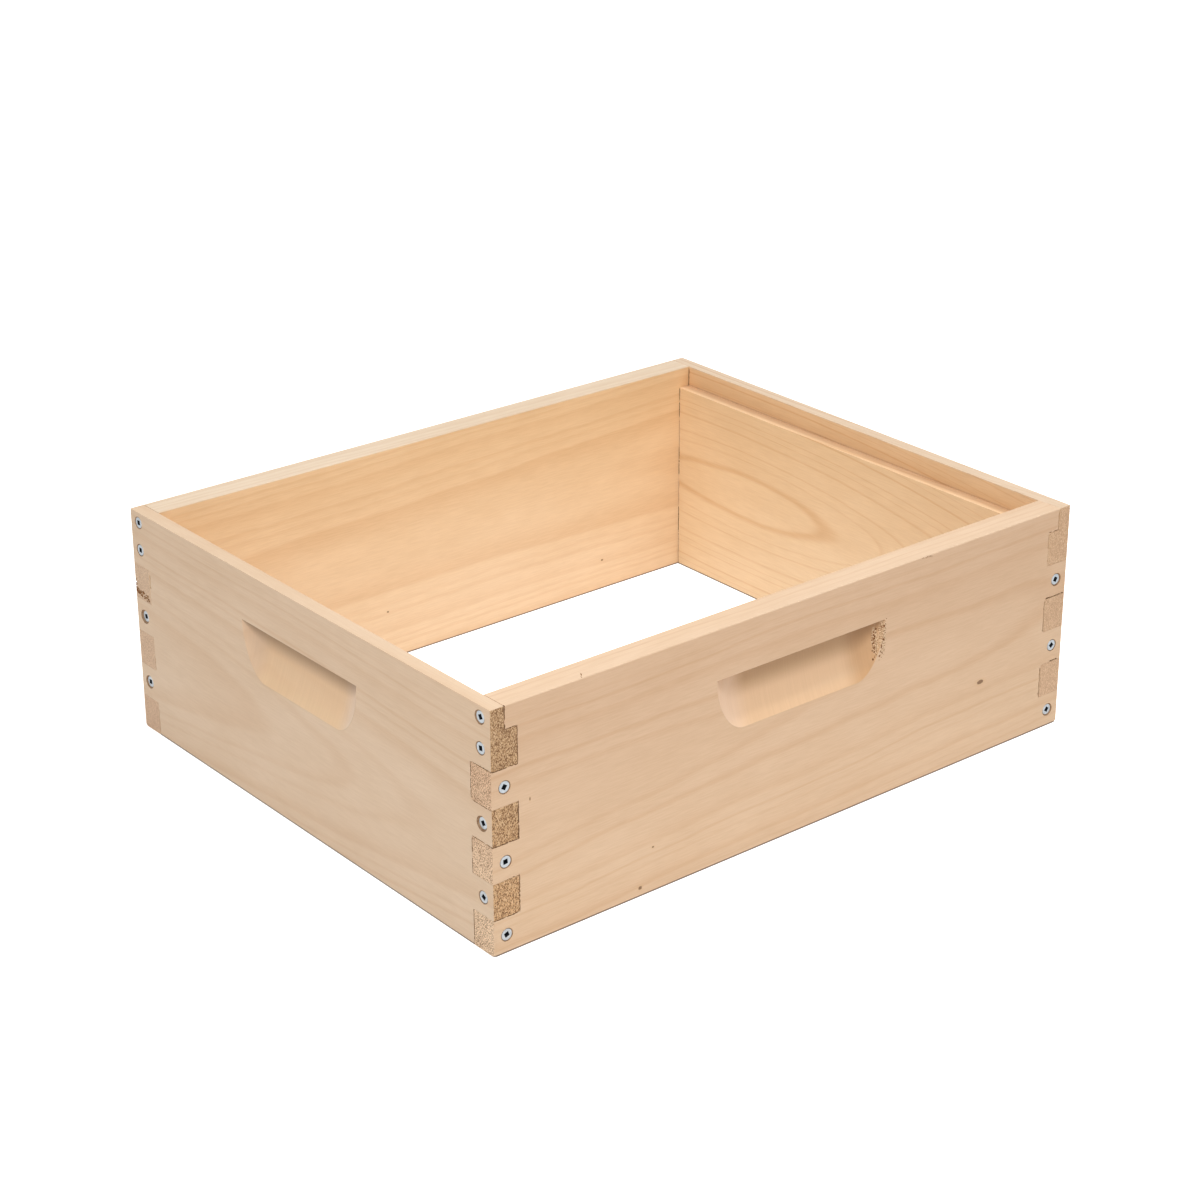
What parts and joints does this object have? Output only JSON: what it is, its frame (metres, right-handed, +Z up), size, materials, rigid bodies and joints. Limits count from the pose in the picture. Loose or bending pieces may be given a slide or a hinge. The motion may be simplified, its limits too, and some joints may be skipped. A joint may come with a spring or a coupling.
{
  "type": "beehive super",
  "caption": "Open wooden hive box with finger-jointed, screwed corners, scooped hand holds and rests that frames of comb hang from.",
  "frame": {"origin": "middle of the bottom rim, in the plane that the box stands on", "axes": "+Z up; +Y along the side boards and the frames; -Y is the front end board's outer face; +X is the right side board's outer face"},
  "size_m": [0.4128, 0.508, 0.1683],
  "materials": {
    "bare_softwood": "bare planed softwood, unpainted",
    "zinc_plated_screw": "bright zinc plate"
  },
  "bodies": {
    "root": {"front_end_board": "bare_softwood", "rear_end_board": "bare_softwood", "left_side_board": "bare_softwood", "right_side_board": "bare_softwood", "front_left_end_screw_1": "zinc_plated_screw", "front_left_end_screw_2": "zinc_plated_screw", "front_left_end_screw_3": "zinc_plated_screw", "front_left_end_screw_4": "zinc_plated_screw", "front_left_side_screw_1": "zinc_plated_screw", "front_left_side_screw_2": "zinc_plated_screw", "front_left_side_screw_3": "zinc_plated_screw", "front_right_end_screw_1": "zinc_plated_screw", "front_right_end_screw_2": "zinc_plated_screw", "front_right_end_screw_3": "zinc_plated_screw", "front_right_end_screw_4": "zinc_plated_screw", "front_right_side_screw_1": "zinc_plated_screw", "front_right_side_screw_2": "zinc_plated_screw", "front_right_side_screw_3": "zinc_plated_screw", "rear_left_end_screw_1": "zinc_plated_screw", "rear_left_end_screw_2": "zinc_plated_screw", "rear_left_end_screw_3": "zinc_plated_screw", "rear_left_end_screw_4": "zinc_plated_screw", "rear_left_side_screw_1": "zinc_plated_screw", "rear_left_side_screw_2": "zinc_plated_screw", "rear_left_side_screw_3": "zinc_plated_screw", "rear_right_end_screw_1": "zinc_plated_screw", "rear_right_end_screw_2": "zinc_plated_screw", "rear_right_end_screw_3": "zinc_plated_screw", "rear_right_end_screw_4": "zinc_plated_screw", "rear_right_side_screw_1": "zinc_plated_screw", "rear_right_side_screw_2": "zinc_plated_screw", "rear_right_side_screw_3": "zinc_plated_screw"}
  },
  "joints": []
}
